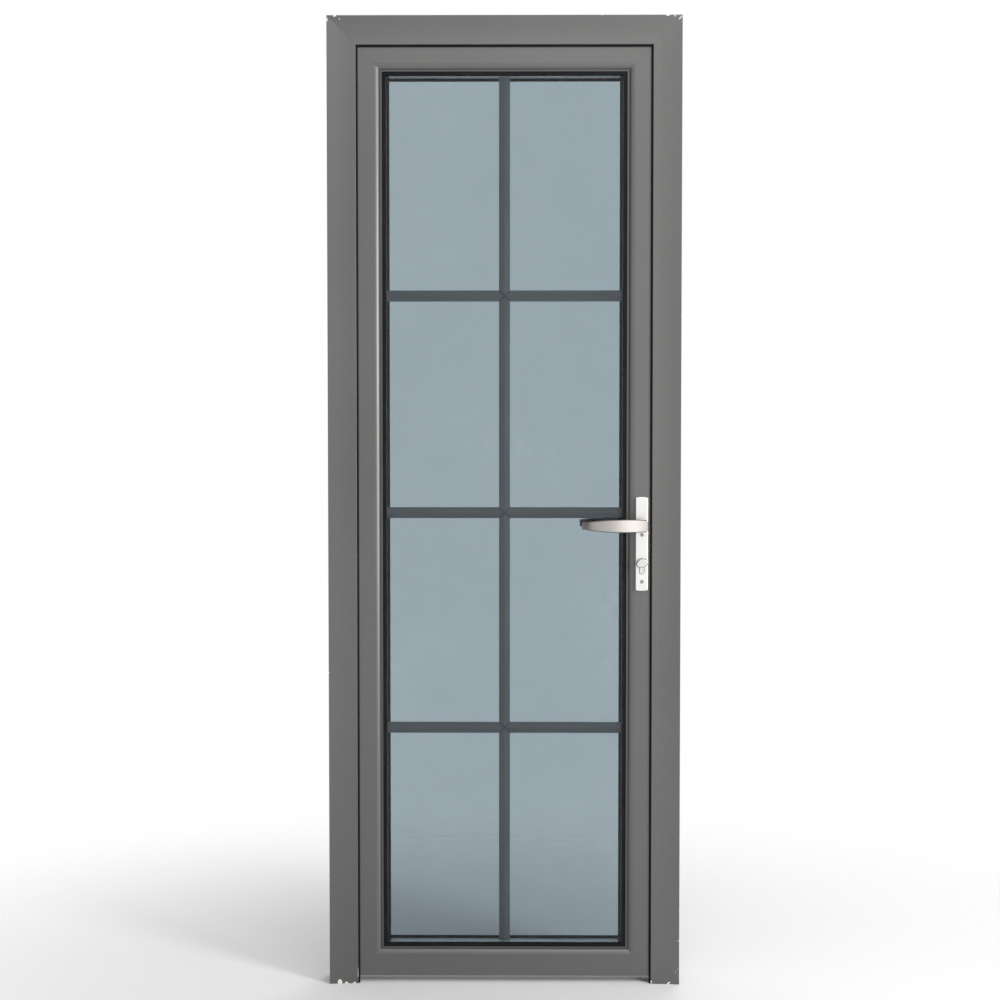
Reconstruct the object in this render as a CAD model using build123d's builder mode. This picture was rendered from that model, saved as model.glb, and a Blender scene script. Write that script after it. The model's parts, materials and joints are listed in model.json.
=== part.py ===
from build123d import *
import os

os.makedirs("parts", exist_ok=True)

# Aluminium swing door in its frame. X runs along the opening, Y goes away from the shown face,
# Z is up. The origin is on the floor under the middle of the leaf.

# Door frame: outside size and section
overall_width = 764
overall_height = 2100
frame_face = 62
frame_wall = 2
face_rise = 3.5
face_flat_share = 0.25
frame_corner = 0.8
lip_thickness = 4.5
leaf_setback = 8
leaf_lap = 8
rebate_gap = 6
stop_gasket_show = 4
stop_gasket_hold = 7
stop_gasket_clearance = 0.3
gasket_round_share = 0.45

# Leaf: thickness, section and the groove in its edge
leaf_thickness = 60
leaf_wall = 2
floor_gap = 15
leaf_corner = 0.6
stile_flat = 46
moulding_width = 12
moulding_quirk = 0.5
moulding_fall = 6.2
moulding_bulge = 1.6
fin_groove = 0.8
fin_width = 5
fin_depth = 8
rebate_floor = 48
groove_width = 20.4
groove_depth = 2.5

# Double glazing and what holds it
glass_thickness = 5
glass_cavity = 27
edge_clearance = 5
gasket_thickness = 3
gasket_hold = 8
gasket_show = 7
rear_gasket_show = 3
spacer_reveal = 1
spacer_height = 6.5
bead_width = 25.5
bead_nose = 3
bead_flat = 6
bead_bulge = 1.2
setting_block_length = 100
setting_block_inset = 60

# Glazing bars between the panes
bar_width = 24
bar_edge = 3
bar_ridge = 9
bar_rows = 4
bar_neck = 2
bar_joint_gap = 0.1

# Corner cleats in the hollow profiles
cleat_leg = 90
cleat_clearance = 0.3

# Barrel hinges on the rear face
hinge_length = 100
hinge_end_distance = 200
hinge_barrel_radius = 9
hinge_barrel_clearance = 1
hinge_leaf_knuckle = 34
hinge_wing_thickness = 4
hinge_wing_width = 32
hinge_wing_inset = 11
hinge_wing_corner = 5
hinge_web_run = 9
hinge_web_shares = (0.8, 0.6)
hinge_pin_radius = 4
hinge_pin_clearance = 0.15
hinge_cap_radius = 7
hinge_cap_height = 3
hinge_washer_thickness = 1
hinge_washer_gap = 0.1
hinge_screw_pitch = 36
hinge_screw_radius = 2.4
hinge_screw_head_radius = 4.8
hinge_screw_length = 16

# Lock in the lock stile
backset = 30
lever_height = 1005
cylinder_drop = 81.5
case_thickness = 16
case_wall = 1.5
case_depth = 43
case_top_rise = 41
case_bottom_drop = 116
case_slot_clearance = 0.3
cam_window = 36
faceplate_width = 20
faceplate_length = 240
faceplate_corner = 3
faceplate_screw_end = 10
faceplate_screw_radius = 1.9
faceplate_screw_head_radius = 3.8
faceplate_screw_length = 14
latch_rise = 25
latch_height = 18
latch_thickness = 12
latch_projection = 12
latch_tail = 22
latch_bevel = 9
latch_nose = 3
bolt_drop = 47
bolt_height = 28
bolt_thickness = 9
bolt_length = 22
bolt_clearance = 0.3
follower_radius = 10.5
follower_boss_radius = 8
follower_clearance = 0.2
spindle_side = 8
spindle_clearance = 0.1
spindle_reach = 58

# Profile cylinder
cylinder_radius = 8.5
cylinder_lobe_width = 10
cylinder_lobe_drop = 24.5
cylinder_length = 80
cylinder_bore = 6.5
cylinder_cut_clearance = 0.4
turning_clearance = 0.2
cam_radius = 15.2
cam_disc_radius = 8.2
cam_finger_width = 6
cam_thickness = 9.6
cam_slot_clearance = 0.5
cylinder_screw_drop = 19
cylinder_screw_radius = 2.4
cylinder_screw_head_radius = 4.4
cylinder_screw_length = 34
key_slot_width = 2.2
key_slot_height = 8.5
key_slot_depth = 20
turn_length = 26.6
turn_height = 18.2
turn_depth = 13
turn_neck_radius = 7.4
turn_neck_length = 6
turn_edge = 2.5
turn_tilt = 15

# Lever handles and their long plates
plate_width = 27
plate_length = 204.5
plate_thickness = 8
plate_end_bulge = 2
plate_edge = 1.6
plate_centre_drop = 41
plate_bearing_clearance = 0.3
plate_screw_drops = (20.8, 122.8)
plate_screw_radius = 2.4
plate_screw_head_radius = 4.5
plate_screw_clearance = 0.3
plate_screw_tip = 2
lever_projection = 58
lever_reach = 131
lever_heel = 10
lever_heel_half = 12.5
lever_heel_bulge = 0.6
lever_heel_corner = 5
lever_broad_half = 14
lever_broad_at = 42
lever_tip_half = 7.5
lever_tip_facet = 6
lever_tip_blunt_share = 0.4
lever_bend_share = 0.78
lever_bow = 2
lever_bar_thickness = 11
lever_heel_back = 9
lever_tip_return = 17
lever_tip_thickness = 12
lever_edge = 1.8
lever_back_edge = 1.2
lever_neck_radius = 10
lever_neck_sink = 6

# Strike plate on the lock jamb
strike_thickness = 1.5
strike_width = 30
strike_margin = 24
strike_corner = 4
strike_clearance = 1.5
strike_slot_clearance = 3
strike_screw_end = 9
strike_screw_radius = 1.9
strike_screw_head_radius = 3.3
strike_screw_length = 14

# Holes for fixing the jambs to a wall
fixing_hole_radius = 4
fixing_hole_end = 350
fixing_rear_inset = 12

screw_hole_clearance = 0.1
countersink_angle = 90
overrun = 5

# Places that follow from the sizes above
right = Axis.X.direction
away = Axis.Y.direction
up = Axis.Z.direction

half_width = overall_width / 2
lip_projection = leaf_lap + rebate_gap
jamb_body = frame_face - lip_projection
frame_depth = leaf_setback + leaf_thickness
leaf_front = -leaf_thickness / 2
leaf_rear = leaf_thickness / 2
frame_front = leaf_front - leaf_setback
rebate_x = half_width - jamb_body
leaf_half = half_width - frame_face + leaf_lap
leaf_width = 2 * leaf_half
leaf_top = overall_height - frame_face + leaf_lap
leaf_height = leaf_top - floor_gap
leaf_middle = (leaf_top + floor_gap) / 2
groove_near = (leaf_thickness - groove_width) / 2
groove_far = (leaf_thickness + groove_width) / 2

glass_edge = rebate_floor + edge_clearance
fin_start = stile_flat + moulding_width
fin_tip = fin_start + fin_width
sightline = fin_tip + gasket_show
rear_sightline = rebate_floor + bead_width + rear_gasket_show
gasket_back = fin_tip - gasket_hold
spacer_inner = sightline + spacer_reveal
spacer_outer = spacer_inner - spacer_height
front_gasket_y = leaf_front + fin_depth
front_glass_y = front_gasket_y + gasket_thickness
cavity_y = front_glass_y + glass_thickness
rear_glass_y = cavity_y + glass_cavity
rear_gasket_y = rear_glass_y + glass_thickness
bead_y = rear_gasket_y + gasket_thickness
cavity_middle = cavity_y + glass_cavity / 2
clear_half = leaf_half - spacer_inner
clear_bottom = floor_gap + spacer_inner
clear_height = leaf_height - 2 * spacer_inner
bar_levels = [clear_bottom + clear_height * row / bar_rows for row in range(1, bar_rows)]

hinge_x = -(rebate_x + leaf_half) / 2
hinge_y = leaf_rear + hinge_barrel_clearance + hinge_barrel_radius
hinge_levels = {
    "lower": floor_gap + hinge_end_distance,
    "middle": leaf_middle,
    "upper": leaf_top - hinge_end_distance,
}

lock_x = leaf_half - backset
cylinder_level = lever_height - cylinder_drop
latch_level = lever_height + latch_rise
bolt_level = lever_height - bolt_drop
case_front_x = leaf_half - groove_depth
case_back_x = case_front_x - case_depth
case_bottom = lever_height - case_bottom_drop
case_top = lever_height + case_top_rise
case_height = case_top - case_bottom
case_middle = (case_top + case_bottom) / 2
plate_level = lever_height - plate_centre_drop
strike_bottom = bolt_level - bolt_height / 2 - strike_margin
strike_top = latch_level + latch_height / 2 + strike_margin
strike_middle = (strike_bottom + strike_top) / 2
strike_x = rebate_x - strike_thickness


def save(piece, label):
    piece.part.label = label
    export_step(piece.part, "parts/" + label + ".step")


def facing(y):
    # Upright plane at this depth that faces the viewer, with X and Z as its own axes
    return Plane.XZ.offset(-y)


def spot(x, y, z, out):
    # Plane at a point whose normal is the outward direction of a hole or screw head
    return Plane((x, y, z), x_dir=up, z_dir=out)


def ring_planes(half, bottom, top, front):
    # One plane per side of a rectangle: its own x goes inwards, its own y goes away from the viewer
    return {
        "left": Plane((-half, front, bottom), x_dir=right, z_dir=up),
        "top": Plane((-half, front, top), x_dir=-up, z_dir=right),
        "right": Plane((half, front, top), x_dir=-right, z_dir=-up),
        "bottom": Plane((half, front, bottom), x_dir=up, z_dir=-right),
    }


def mitred_bar(plane, length, profile, start_mitre=True, end_mitre=True):
    with BuildPart() as bar:
        with BuildSketch(plane):
            add(profile)
        extrude(amount=length)
        if start_mitre:
            split(bisect_by=Plane(plane.origin, x_dir=plane.y_dir, z_dir=plane.z_dir - plane.x_dir))
        if end_mitre:
            far_corner = plane.offset(length).origin
            split(bisect_by=Plane(far_corner, x_dir=plane.y_dir, z_dir=-plane.z_dir - plane.x_dir))
    return bar


def countersunk_screws(spots, head_radius, shank_radius, length):
    with BuildPart() as screws:
        for place in spots:
            with BuildSketch(Plane(place.origin, x_dir=place.x_dir, z_dir=place.y_dir)):
                with BuildLine():
                    Polyline(
                        (0, 0),
                        (head_radius, 0),
                        (shank_radius, head_radius - shank_radius),
                        (shank_radius, length),
                        (0, length),
                        close=True,
                    )
                make_face()
            revolve(axis=Axis(place.origin, place.z_dir))
    return screws


def leaf_ring(front, depth, outer, inner):
    # Flat rectangular ring set in from the leaf's edges
    with BuildPart() as ring:
        with BuildSketch(facing(front)):
            with Locations((0, leaf_middle)):
                Rectangle(leaf_width - 2 * outer, leaf_height - 2 * outer)
                Rectangle(leaf_width - 2 * inner, leaf_height - 2 * inner, mode=Mode.SUBTRACT)
        extrude(amount=-depth)
    return ring


def cylinder_outline(clearance):
    # Profile cylinder seen along its axis: a round top with a straight lobe under it
    lobe_half = cylinder_lobe_width / 2
    lobe_run = cylinder_lobe_drop - lobe_half
    with BuildSketch() as outline:
        with Locations((lock_x, cylinder_level)):
            Circle(cylinder_radius + clearance)
            Rectangle(cylinder_lobe_width + 2 * clearance, lobe_run, align=(Align.CENTER, Align.MAX))
        with Locations((lock_x, cylinder_level - lobe_run)):
            Circle(lobe_half + clearance)
    return outline.sketch


def corner_cleats(corners, width, front, depth):
    # L-shaped blocks that join two hollow bars at each corner
    with BuildPart() as cleats:
        for x, z, side_x, side_z in corners:
            leg_x = x + side_x * cleat_leg
            leg_z = z + side_z * cleat_leg
            inner_x = x + side_x * width
            inner_z = z + side_z * width
            with BuildSketch(facing(front)):
                with BuildLine():
                    Polyline(
                        (x, z),
                        (leg_x, z),
                        (leg_x, inner_z),
                        (inner_x, inner_z),
                        (inner_x, leg_z),
                        (x, leg_z),
                        close=True,
                    )
                make_face()
            extrude(amount=-depth)
    return cleats


def wing_spots(side, y):
    # Screw places of every hinge wing on one side of the hinge axis
    x = hinge_x + side * (hinge_wing_inset + hinge_wing_width / 2)
    rows = (-hinge_screw_pitch, 0, hinge_screw_pitch)
    return [spot(x, y, level + row, away) for level in hinge_levels.values() for row in rows]


def fixing_spots(side):
    # Wall fixing holes of one jamb
    y = leaf_rear - fixing_rear_inset
    levels = (fixing_hole_end, overall_height - fixing_hole_end)
    return [spot(side * half_width, y, level, side * right) for level in levels]


# Sections of the extruded bars: x goes inwards from the outer edge, y goes away from the face
with BuildSketch() as frame_profile:
    flat_start = frame_face - frame_face * face_flat_share
    with BuildLine():
        face_curve = TangentArc((flat_start, 0), (0, -face_rise), tangent=-right)
        Polyline(
            face_curve @ 1,
            (0, frame_depth),
            (jamb_body, frame_depth),
            (jamb_body, 0),
            face_curve @ 0,
        )
    make_face()
    offset(amount=-frame_wall, kind=Kind.INTERSECTION, mode=Mode.SUBTRACT)
    with Locations((jamb_body, 0)):
        Rectangle(lip_projection, lip_thickness, align=(Align.MIN, Align.MIN))
    fillet(frame_profile.vertices().group_by(Axis.X)[0], radius=frame_corner)
    fillet(frame_profile.vertices().group_by(Axis.X)[-1].sort_by(Axis.Y)[0], radius=frame_corner)

with BuildSketch() as stop_gasket_profile:
    stop_gasket_thickness = leaf_setback - lip_thickness - stop_gasket_clearance
    with Locations((frame_face - stop_gasket_hold, lip_thickness)):
        Rectangle(
            stop_gasket_hold + stop_gasket_show,
            stop_gasket_thickness,
            align=(Align.MIN, Align.MIN),
        )
    nose_corners = stop_gasket_profile.vertices().group_by(Axis.X)[-1]
    fillet(nose_corners, radius=stop_gasket_thickness * gasket_round_share)

with BuildSketch() as leaf_profile:
    quirk = (stile_flat, moulding_quirk)
    groove_foot = (fin_start, moulding_fall)
    fin_face = moulding_fall - fin_groove
    with BuildLine():
        SagittaArc(quirk, groove_foot, -moulding_bulge)
        Polyline(
            groove_foot,
            (fin_start + fin_groove, fin_face),
            (fin_tip, fin_face),
            (fin_tip, fin_depth),
            (rebate_floor, fin_depth),
            (rebate_floor, leaf_thickness),
            (0, leaf_thickness),
            (0, groove_far),
            (groove_depth, groove_far),
            (groove_depth, groove_near),
            (0, groove_near),
            (0, 0),
            (stile_flat, 0),
            quirk,
        )
    make_face()
    with BuildLine():
        Polyline(
            (leaf_wall, leaf_wall),
            (rebate_floor - leaf_wall, leaf_wall),
            (rebate_floor - leaf_wall, leaf_thickness - leaf_wall),
            (leaf_wall, leaf_thickness - leaf_wall),
            (leaf_wall, groove_far + leaf_wall),
            (groove_depth + leaf_wall, groove_far + leaf_wall),
            (groove_depth + leaf_wall, groove_near - leaf_wall),
            (leaf_wall, groove_near - leaf_wall),
            close=True,
        )
    make_face(mode=Mode.SUBTRACT)
    fillet(leaf_profile.vertices().group_by(Axis.X)[0], radius=leaf_corner)
    fillet(leaf_profile.vertices().group_by(Axis.X)[-1].sort_by(Axis.Y)[0], radius=leaf_corner)

with BuildSketch() as bead_profile:
    bead_front = bead_y - leaf_front
    bead_tip = (rebate_floor + bead_width, bead_front + bead_nose)
    bead_shoulder = (rebate_floor + bead_flat, leaf_thickness)
    with BuildLine():
        SagittaArc(bead_tip, bead_shoulder, -bead_bulge)
        Polyline(
            bead_shoulder,
            (rebate_floor, leaf_thickness),
            (rebate_floor, bead_front),
            (rebate_floor + bead_width, bead_front),
            bead_tip,
        )
    make_face()

frame_sides = ring_planes(half_width, 0, overall_height, frame_front)
leaf_sides = ring_planes(leaf_half, floor_gap, leaf_top, leaf_front)

# Hinge jamb with its wall fixings and hinge screw holes
left_bar = mitred_bar(frame_sides["left"], overall_height, frame_profile.sketch, start_mitre=False)
with BuildPart() as hinge_jamb:
    add(left_bar.part)
    with Locations(*wing_spots(-1, leaf_rear)):
        Hole(hinge_screw_radius + screw_hole_clearance, depth=frame_wall + overrun)
    with Locations(*fixing_spots(-1)):
        Hole(fixing_hole_radius, depth=jamb_body + overrun)
save(hinge_jamb, "hinge_jamb")

# Lock jamb, with slots behind the strike plate for the latch and the deadbolt
strike_spots = [
    spot(strike_x, 0, level, -right)
    for level in (strike_bottom + strike_screw_end, strike_top - strike_screw_end)
]
right_bar = mitred_bar(frame_sides["right"], overall_height, frame_profile.sketch, end_mitre=False)
with BuildPart() as lock_jamb:
    add(right_bar.part)
    with BuildSketch(Plane.YZ.offset(rebate_x)):
        with Locations((0, latch_level)):
            Rectangle(latch_thickness + 2 * strike_slot_clearance, latch_height + 2 * strike_slot_clearance)
        with Locations((0, bolt_level)):
            Rectangle(bolt_thickness + 2 * strike_slot_clearance, bolt_height + 2 * strike_slot_clearance)
    extrude(amount=frame_wall + overrun, mode=Mode.SUBTRACT)
    with Locations(*strike_spots):
        Hole(strike_screw_radius + screw_hole_clearance, depth=strike_thickness + frame_wall + overrun)
    with Locations(*fixing_spots(1)):
        Hole(fixing_hole_radius, depth=jamb_body + overrun)
save(lock_jamb, "lock_jamb")

frame_head = mitred_bar(frame_sides["top"], overall_width, frame_profile.sketch)
save(frame_head, "frame_head")

frame_cleat_edge = frame_wall + cleat_clearance
frame_cleats = corner_cleats(
    [
        (-half_width + frame_cleat_edge, overall_height - frame_cleat_edge, 1, -1),
        (half_width - frame_cleat_edge, overall_height - frame_cleat_edge, -1, -1),
    ],
    jamb_body - 2 * frame_cleat_edge,
    frame_front + frame_cleat_edge,
    frame_depth - 2 * frame_cleat_edge,
)
save(frame_cleats, "frame_corner_cleats")

# Rubber stop seals behind the lip of the frame
stop_gasket_hinge_side = mitred_bar(
    frame_sides["left"], overall_height, stop_gasket_profile.sketch, start_mitre=False
)
save(stop_gasket_hinge_side, "stop_gasket_hinge_side")
stop_gasket_lock_side = mitred_bar(
    frame_sides["right"], overall_height, stop_gasket_profile.sketch, end_mitre=False
)
save(stop_gasket_lock_side, "stop_gasket_lock_side")
stop_gasket_head = mitred_bar(frame_sides["top"], overall_width, stop_gasket_profile.sketch)
save(stop_gasket_head, "stop_gasket_head")

with BuildPart() as strike_plate:
    with BuildSketch(Plane.YZ.offset(strike_x)):
        with Locations((0, strike_middle)):
            RectangleRounded(strike_width, strike_top - strike_bottom, strike_corner)
        with Locations((0, latch_level)):
            Rectangle(
                latch_thickness + 2 * strike_clearance,
                latch_height + 2 * strike_clearance,
                mode=Mode.SUBTRACT,
            )
        with Locations((0, bolt_level)):
            Rectangle(
                bolt_thickness + 2 * strike_clearance,
                bolt_height + 2 * strike_clearance,
                mode=Mode.SUBTRACT,
            )
    extrude(amount=strike_thickness)
    with Locations(*strike_spots):
        CounterSinkHole(
            strike_screw_radius + screw_hole_clearance,
            strike_screw_head_radius + screw_hole_clearance,
            depth=strike_thickness + overrun,
            counter_sink_angle=countersink_angle,
        )
save(strike_plate, "strike_plate")

strike_screws = countersunk_screws(
    strike_spots, strike_screw_head_radius, strike_screw_radius, strike_screw_length
)
save(strike_screws, "strike_screws")

# Leaf bars
left_stile = mitred_bar(leaf_sides["left"], leaf_height, leaf_profile.sketch)
with BuildPart() as hinge_stile:
    add(left_stile.part)
    with Locations(*wing_spots(1, leaf_rear)):
        Hole(hinge_screw_radius + screw_hole_clearance, depth=leaf_wall + overrun)
save(hinge_stile, "hinge_stile")

plate_screw_levels = [lever_height - drop for drop in plate_screw_drops]
faceplate_reach = faceplate_length / 2 - faceplate_screw_end
faceplate_levels = (case_middle - faceplate_reach, case_middle + faceplate_reach)
groove_spots = [spot(case_front_x, 0, level, right) for level in faceplate_levels]
faceplate_spots = [spot(leaf_half, 0, level, right) for level in faceplate_levels]
cylinder_screw_spot = spot(leaf_half, 0, cylinder_level - cylinder_screw_drop, right)

right_stile = mitred_bar(leaf_sides["right"], leaf_height, leaf_profile.sketch)
with BuildPart() as lock_stile:
    add(right_stile.part)
    with BuildSketch(Plane.YZ.offset(case_front_x)):
        with Locations((0, case_middle)):
            Rectangle(case_thickness + 2 * case_slot_clearance, case_height + 2 * case_slot_clearance)
    extrude(amount=-leaf_wall - overrun, mode=Mode.SUBTRACT)
    with Locations(*groove_spots):
        Hole(faceplate_screw_radius + screw_hole_clearance, depth=leaf_wall + overrun)
    with BuildSketch(facing(leaf_front)):
        add(cylinder_outline(cylinder_cut_clearance))
        with Locations((lock_x, lever_height)):
            Circle(follower_boss_radius)
        with Locations(*[(lock_x, level) for level in plate_screw_levels]):
            Circle(plate_screw_radius + plate_screw_clearance)
    extrude(amount=-leaf_thickness, mode=Mode.SUBTRACT)
save(lock_stile, "lock_stile")

top_rail = mitred_bar(leaf_sides["top"], leaf_width, leaf_profile.sketch)
save(top_rail, "top_rail")
bottom_rail = mitred_bar(leaf_sides["bottom"], leaf_width, leaf_profile.sketch)
save(bottom_rail, "bottom_rail")

leaf_cleat_edge = groove_depth + leaf_wall + cleat_clearance
leaf_cleats = corner_cleats(
    [
        (-leaf_half + leaf_cleat_edge, floor_gap + leaf_cleat_edge, 1, 1),
        (leaf_half - leaf_cleat_edge, floor_gap + leaf_cleat_edge, -1, 1),
        (-leaf_half + leaf_cleat_edge, leaf_top - leaf_cleat_edge, 1, -1),
        (leaf_half - leaf_cleat_edge, leaf_top - leaf_cleat_edge, -1, -1),
    ],
    rebate_floor - leaf_wall - cleat_clearance - leaf_cleat_edge,
    leaf_front + leaf_wall + cleat_clearance,
    leaf_thickness - 2 * (leaf_wall + cleat_clearance),
)
save(leaf_cleats, "leaf_corner_cleats")

# Glazing: two panes with a spacer and a seal round their edge, rubber seals, beads and blocks
for label, pane_y in (("front_glass", front_glass_y), ("rear_glass", rear_glass_y)):
    with BuildPart() as pane:
        with BuildSketch(facing(pane_y)):
            with Locations((0, leaf_middle)):
                Rectangle(leaf_width - 2 * glass_edge, leaf_height - 2 * glass_edge)
        extrude(amount=-glass_thickness)
    save(pane, label)

spacer_frame = leaf_ring(cavity_y, glass_cavity, spacer_outer, spacer_inner)
save(spacer_frame, "spacer_frame")
edge_seal = leaf_ring(cavity_y, glass_cavity, glass_edge, spacer_outer)
save(edge_seal, "edge_seal")
front_glazing_gasket = leaf_ring(front_gasket_y, gasket_thickness, gasket_back, sightline)
save(front_glazing_gasket, "front_glazing_gasket")
rear_glazing_gasket = leaf_ring(rear_gasket_y, gasket_thickness, gasket_back, rear_sightline)
save(rear_glazing_gasket, "rear_glazing_gasket")

for side, side_plane in leaf_sides.items():
    run = leaf_height if side in ("left", "right") else leaf_width
    bead = mitred_bar(side_plane, run, bead_profile.sketch)
    save(bead, "glazing_bead_" + side)

with BuildPart() as setting_blocks:
    block_x = leaf_half - glass_edge - setting_block_inset - setting_block_length / 2
    with BuildSketch(facing(front_glass_y)):
        with Locations((-block_x, floor_gap + rebate_floor), (block_x, floor_gap + rebate_floor)):
            Rectangle(setting_block_length, edge_clearance, align=(Align.CENTER, Align.MIN))
    extrude(amount=-2 * glass_thickness - glass_cavity)
save(setting_blocks, "setting_blocks")

# Glazing bars: a flat ridged section, with mitred points where the rows meet the upright
bar_points = [
    (-bar_width / 2, -bar_edge / 2),
    (0, -bar_ridge / 2),
    (bar_width / 2, -bar_edge / 2),
    (bar_width / 2, bar_edge / 2),
    (0, bar_ridge / 2),
    (-bar_width / 2, bar_edge / 2),
]

with BuildPart() as upright_bar:
    with BuildSketch(Plane((0, cavity_middle, clear_bottom), x_dir=right, z_dir=up)):
        with BuildLine():
            Polyline(*bar_points, close=True)
        make_face()
    extrude(amount=clear_height)
    with BuildSketch(facing(cavity_y)):
        for level in bar_levels:
            for side in (-1, 1):
                with BuildLine():
                    Polyline(
                        (side * bar_neck / 2, level),
                        (side * bar_width, level + bar_width - bar_neck / 2),
                        (side * bar_width, level - bar_width + bar_neck / 2),
                        close=True,
                    )
                make_face()
    extrude(amount=-glass_cavity, mode=Mode.SUBTRACT)
save(upright_bar, "glazing_bar_upright")

for row_name, level in zip(("lower", "middle", "upper"), bar_levels):
    for side_name, side in (("left", -1), ("right", 1)):
        start_x = bar_neck / 2 + bar_joint_gap
        row_plane = Plane((side * start_x, cavity_middle, level), x_dir=up, z_dir=side * right)
        with BuildPart() as row_bar:
            with BuildSketch(row_plane):
                with BuildLine():
                    Polyline(*bar_points, close=True)
                make_face()
            extrude(amount=clear_half - start_x)
            for tilt in (up, -up):
                point_plane = Plane((side * start_x, cavity_middle, level), x_dir=away, z_dir=side * right + tilt)
                split(bisect_by=point_plane)
        save(row_bar, "glazing_bar_" + row_name + "_" + side_name)

# Hinges: each has a wing on the frame with two outer knuckles and a wing on the leaf with the middle one
def hinge_wing(side, level, knuckles):
    wing_edge = hinge_x + side * hinge_wing_inset
    web_share_x, web_share_y = hinge_web_shares
    with BuildPart() as wing:
        with BuildSketch(facing(leaf_rear)):
            with Locations((wing_edge + side * hinge_wing_width / 2, level)):
                RectangleRounded(hinge_wing_width, hinge_length, hinge_wing_corner)
        extrude(amount=-hinge_wing_thickness)
        for bottom, top in knuckles:
            with BuildSketch(Plane.XY.offset(bottom)):
                with BuildLine():
                    Polyline(
                        (hinge_x, hinge_y - hinge_barrel_radius),
                        (wing_edge + side * hinge_web_run, hinge_y - hinge_barrel_radius),
                        (wing_edge + side * hinge_web_run, leaf_rear + hinge_wing_thickness),
                        (
                            hinge_x + side * hinge_barrel_radius * web_share_x,
                            hinge_y + hinge_barrel_radius * web_share_y,
                        ),
                        (hinge_x, hinge_y),
                        close=True,
                    )
                make_face()
                with Locations((hinge_x, hinge_y)):
                    Circle(hinge_barrel_radius)
                    Circle(hinge_pin_radius + hinge_pin_clearance, mode=Mode.SUBTRACT)
            extrude(amount=top - bottom)
        rows = (-hinge_screw_pitch, 0, hinge_screw_pitch)
        screw_x = wing_edge + side * hinge_wing_width / 2
        with Locations(*[spot(screw_x, leaf_rear + hinge_wing_thickness, level + row, away) for row in rows]):
            CounterSinkHole(
                hinge_screw_radius + screw_hole_clearance,
                hinge_screw_head_radius + screw_hole_clearance,
                depth=hinge_wing_thickness + overrun,
                counter_sink_angle=countersink_angle,
            )
    return wing


middle_half = hinge_leaf_knuckle / 2
outer_start = middle_half + hinge_washer_thickness
for position, level in hinge_levels.items():
    low_knuckle = (level - hinge_length / 2, level - outer_start)
    high_knuckle = (level + outer_start, level + hinge_length / 2)
    frame_wing = hinge_wing(-1, level, (low_knuckle, high_knuckle))
    save(frame_wing, "hinge_frame_wing_" + position)
    leaf_wing = hinge_wing(1, level, ((level - middle_half, level + middle_half),))
    save(leaf_wing, "hinge_leaf_wing_" + position)

with BuildPart() as hinge_pins:
    for level in hinge_levels.values():
        for end in (up, -up):
            pin_plane = Plane((hinge_x, hinge_y, level), x_dir=right, z_dir=end)
            with BuildSketch(pin_plane):
                Circle(hinge_pin_radius)
            extrude(amount=hinge_length / 2 + hinge_cap_height)
            with BuildSketch(pin_plane.offset(hinge_length / 2 + hinge_washer_gap)):
                Circle(hinge_cap_radius)
            extrude(amount=hinge_cap_height)
save(hinge_pins, "hinge_pins")

with BuildPart() as hinge_washers:
    for level in hinge_levels.values():
        for bottom in (level - outer_start, level + middle_half):
            with BuildSketch(Plane.XY.offset(bottom + hinge_washer_gap)):
                with Locations((hinge_x, hinge_y)):
                    Circle(hinge_barrel_radius)
                    Circle(hinge_pin_radius + hinge_pin_clearance, mode=Mode.SUBTRACT)
            extrude(amount=hinge_washer_thickness - 2 * hinge_washer_gap)
save(hinge_washers, "hinge_washers")

for label, side in (("hinge_frame_screws", -1), ("hinge_leaf_screws", 1)):
    wing_screws = countersunk_screws(
        wing_spots(side, leaf_rear + hinge_wing_thickness),
        hinge_screw_head_radius,
        hinge_screw_radius,
        hinge_screw_length,
    )
    save(wing_screws, label)

# Lock: case open at its front, faceplate, latch, deadbolt and the follower that the spindle turns
with BuildPart() as lock_case:
    with BuildSketch(Plane.YZ.offset(case_back_x)):
        with Locations((0, case_middle)):
            Rectangle(case_thickness, case_height)
    extrude(amount=case_depth)
    with BuildSketch(Plane.YZ.offset(case_back_x + case_wall)):
        with Locations((0, case_middle)):
            Rectangle(case_thickness - 2 * case_wall, case_height - 2 * case_wall)
    extrude(amount=case_depth, mode=Mode.SUBTRACT)
    with BuildSketch(facing(-case_thickness / 2)):
        add(cylinder_outline(cylinder_cut_clearance))
        with Locations((lock_x, lever_height)):
            Circle(follower_boss_radius + follower_clearance)
        with Locations(*[(lock_x, level) for level in plate_screw_levels]):
            Circle(plate_screw_radius + plate_screw_clearance)
    extrude(amount=-case_thickness, mode=Mode.SUBTRACT)
    with BuildSketch(Plane.YZ.offset(case_back_x)):
        with Locations((0, cylinder_level)):
            Rectangle(case_thickness - 2 * case_wall, cam_window)
    extrude(amount=case_wall, mode=Mode.SUBTRACT)
save(lock_case, "lock_case")

with BuildPart() as lock_faceplate:
    with BuildSketch(Plane.YZ.offset(case_front_x)):
        with Locations((0, case_middle)):
            RectangleRounded(faceplate_width, faceplate_length, faceplate_corner)
        with Locations((0, latch_level)):
            Rectangle(latch_thickness + 2 * bolt_clearance, latch_height + 2 * bolt_clearance, mode=Mode.SUBTRACT)
        with Locations((0, bolt_level)):
            Rectangle(bolt_thickness + 2 * bolt_clearance, bolt_height + 2 * bolt_clearance, mode=Mode.SUBTRACT)
    extrude(amount=groove_depth)
    with Locations(*faceplate_spots):
        CounterSinkHole(
            faceplate_screw_radius + screw_hole_clearance,
            faceplate_screw_head_radius + screw_hole_clearance,
            depth=groove_depth + overrun,
            counter_sink_angle=countersink_angle,
        )
    with Locations(cylinder_screw_spot):
        CounterSinkHole(
            cylinder_screw_radius + screw_hole_clearance,
            cylinder_screw_head_radius + screw_hole_clearance,
            depth=groove_depth + overrun,
            counter_sink_angle=countersink_angle,
        )
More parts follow.
